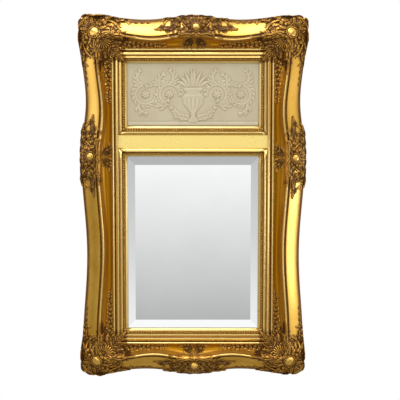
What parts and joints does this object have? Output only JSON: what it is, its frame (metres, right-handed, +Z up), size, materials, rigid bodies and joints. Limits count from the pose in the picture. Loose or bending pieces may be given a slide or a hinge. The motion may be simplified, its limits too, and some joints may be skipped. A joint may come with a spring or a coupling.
{
  "type": "framed wall mirror",
  "caption": "Tall gilt swept frame with cast corner and centre ornaments, a relief plaque above a bevelled mirror glass, beaded slips and hanging rings on the back.",
  "frame": {"origin": "on the wall plane, behind the middle of the frame", "axes": "+X to the right seen from the front, +Y towards the wall, +Z up"},
  "size_m": [0.6596, 0.0706, 1.0596],
  "materials": {
    "gilt_rail": "gold leaf over wood, toned",
    "gilt_flat": "gold leaf over wood, bright",
    "gilt_slip": "gold leaf over wood, toned",
    "gilt_cast": "gilt casting with dark toning in its hollows",
    "bare_wood": "bare",
    "plaque_cast": "matt, aged ivory",
    "mirror_face": "polished, bevelled edge",
    "mirror_paint": "matt paint",
    "hardboard": "pressed, bare",
    "felt": "felt",
    "soft_block": "matt",
    "button_brass": "plain",
    "screw_steel": "zinc plated",
    "hanger_steel": "zinc plated"
  },
  "bodies": {
    "frame": {"top_rail": "gilt_rail", "top_centre_ornament": "gilt_cast", "top_hollow_spray": "gilt_cast", "plaque_slip_top": "gilt_slip", "mirror_slip_top": "gilt_slip", "bottom_rail": "gilt_rail", "bottom_centre_ornament": "gilt_cast", "bottom_hollow_spray": "gilt_cast", "plaque_slip_bottom": "gilt_slip", "mirror_slip_bottom": "gilt_slip", "left_rail": "gilt_rail", "left_centre_ornament": "gilt_cast", "left_hollow_spray": "gilt_cast", "plaque_slip_left": "gilt_slip", "mirror_slip_left": "gilt_slip", "right_rail": "gilt_rail", "right_centre_ornament": "gilt_cast", "right_hollow_spray": "gilt_cast", "plaque_slip_right": "gilt_slip", "mirror_slip_right": "gilt_slip", "top_left_corner_ornament": "gilt_cast", "top_right_corner_ornament": "gilt_cast", "bottom_left_corner_ornament": "gilt_cast", "bottom_right_corner_ornament": "gilt_cast", "cross_rail": "gilt_flat", "mitre_keys": "bare_wood", "cross_rail_dowels": "bare_wood", "relief_plaque": "plaque_cast", "mirror_glass": "mirror_face", "mirror_silvering": "mirror_paint", "plaque_back_board": "hardboard", "mirror_back_board": "hardboard", "glass_pads": "felt", "glass_setting_blocks": "soft_block", "turn_button_screws": "screw_steel", "hanger_screws": "screw_steel", "left_hanger_plate": "hanger_steel", "right_hanger_plate": "hanger_steel", "wall_bumpers": "soft_block"},
    "plaque_button_top_left": {"plaque_button_top_left": "button_brass"},
    "plaque_button_top_right": {"plaque_button_top_right": "button_brass"},
    "plaque_button_bottom_left": {"plaque_button_bottom_left": "button_brass"},
    "plaque_button_bottom_right": {"plaque_button_bottom_right": "button_brass"},
    "mirror_button_left_upper": {"mirror_button_left_upper": "button_brass"},
    "mirror_button_left_lower": {"mirror_button_left_lower": "button_brass"},
    "mirror_button_right_upper": {"mirror_button_right_upper": "button_brass"},
    "mirror_button_right_lower": {"mirror_button_right_lower": "button_brass"},
    "mirror_button_top": {"mirror_button_top": "button_brass"},
    "mirror_button_bottom": {"mirror_button_bottom": "button_brass"},
    "left_hanger_ring": {"left_hanger_ring": "hanger_steel"},
    "right_hanger_ring": {"right_hanger_ring": "hanger_steel"}
  },
  "joints": [
    {"name": "plaque_button_top_left_turn", "type": "hinge", "parent": "frame", "child": "plaque_button_top_left", "pos_m": [-0.1075, -0.0147, 0.4065], "axis": [0, 1, 0], "range_deg": [-90, 90]},
    {"name": "plaque_button_top_right_turn", "type": "hinge", "parent": "frame", "child": "plaque_button_top_right", "pos_m": [0.1075, -0.0147, 0.4065], "axis": [0, 1, 0], "range_deg": [-90, 90]},
    {"name": "plaque_button_bottom_left_turn", "type": "hinge", "parent": "frame", "child": "plaque_button_bottom_left", "pos_m": [-0.1075, -0.0147, 0.1905], "axis": [0, 1, 0], "range_deg": [-90, 90]},
    {"name": "plaque_button_bottom_right_turn", "type": "hinge", "parent": "frame", "child": "plaque_button_bottom_right", "pos_m": [0.1075, -0.0147, 0.1905], "axis": [0, 1, 0], "range_deg": [-90, 90]},
    {"name": "mirror_button_left_upper_turn", "type": "hinge", "parent": "frame", "child": "mirror_button_left_upper", "pos_m": [-0.2065, -0.0147, 0.005], "axis": [0, 1, 0], "range_deg": [-90, 90]},
    {"name": "mirror_button_left_lower_turn", "type": "hinge", "parent": "frame", "child": "mirror_button_left_lower", "pos_m": [-0.2065, -0.0147, -0.275], "axis": [0, 1, 0], "range_deg": [-90, 90]},
    {"name": "mirror_button_right_upper_turn", "type": "hinge", "parent": "frame", "child": "mirror_button_right_upper", "pos_m": [0.2065, -0.0147, 0.005], "axis": [0, 1, 0], "range_deg": [-90, 90]},
    {"name": "mirror_button_right_lower_turn", "type": "hinge", "parent": "frame", "child": "mirror_button_right_lower", "pos_m": [0.2065, -0.0147, -0.275], "axis": [0, 1, 0], "range_deg": [-90, 90]},
    {"name": "mirror_button_top_turn", "type": "hinge", "parent": "frame", "child": "mirror_button_top", "pos_m": [0, -0.0147, 0.1365], "axis": [0, 1, 0], "range_deg": [-90, 90]},
    {"name": "mirror_button_bottom_turn", "type": "hinge", "parent": "frame", "child": "mirror_button_bottom", "pos_m": [0, -0.0147, -0.4065], "axis": [0, 1, 0], "range_deg": [-90, 90]},
    {"name": "left_ring_swing", "type": "hinge", "parent": "frame", "child": "left_hanger_ring", "pos_m": [-0.257, -0.0025, 0.3], "axis": [1, 0, 0], "range_deg": [0, 180]},
    {"name": "right_ring_swing", "type": "hinge", "parent": "frame", "child": "right_hanger_ring", "pos_m": [0.257, -0.0025, 0.3], "axis": [1, 0, 0], "range_deg": [0, 180]}
  ]
}
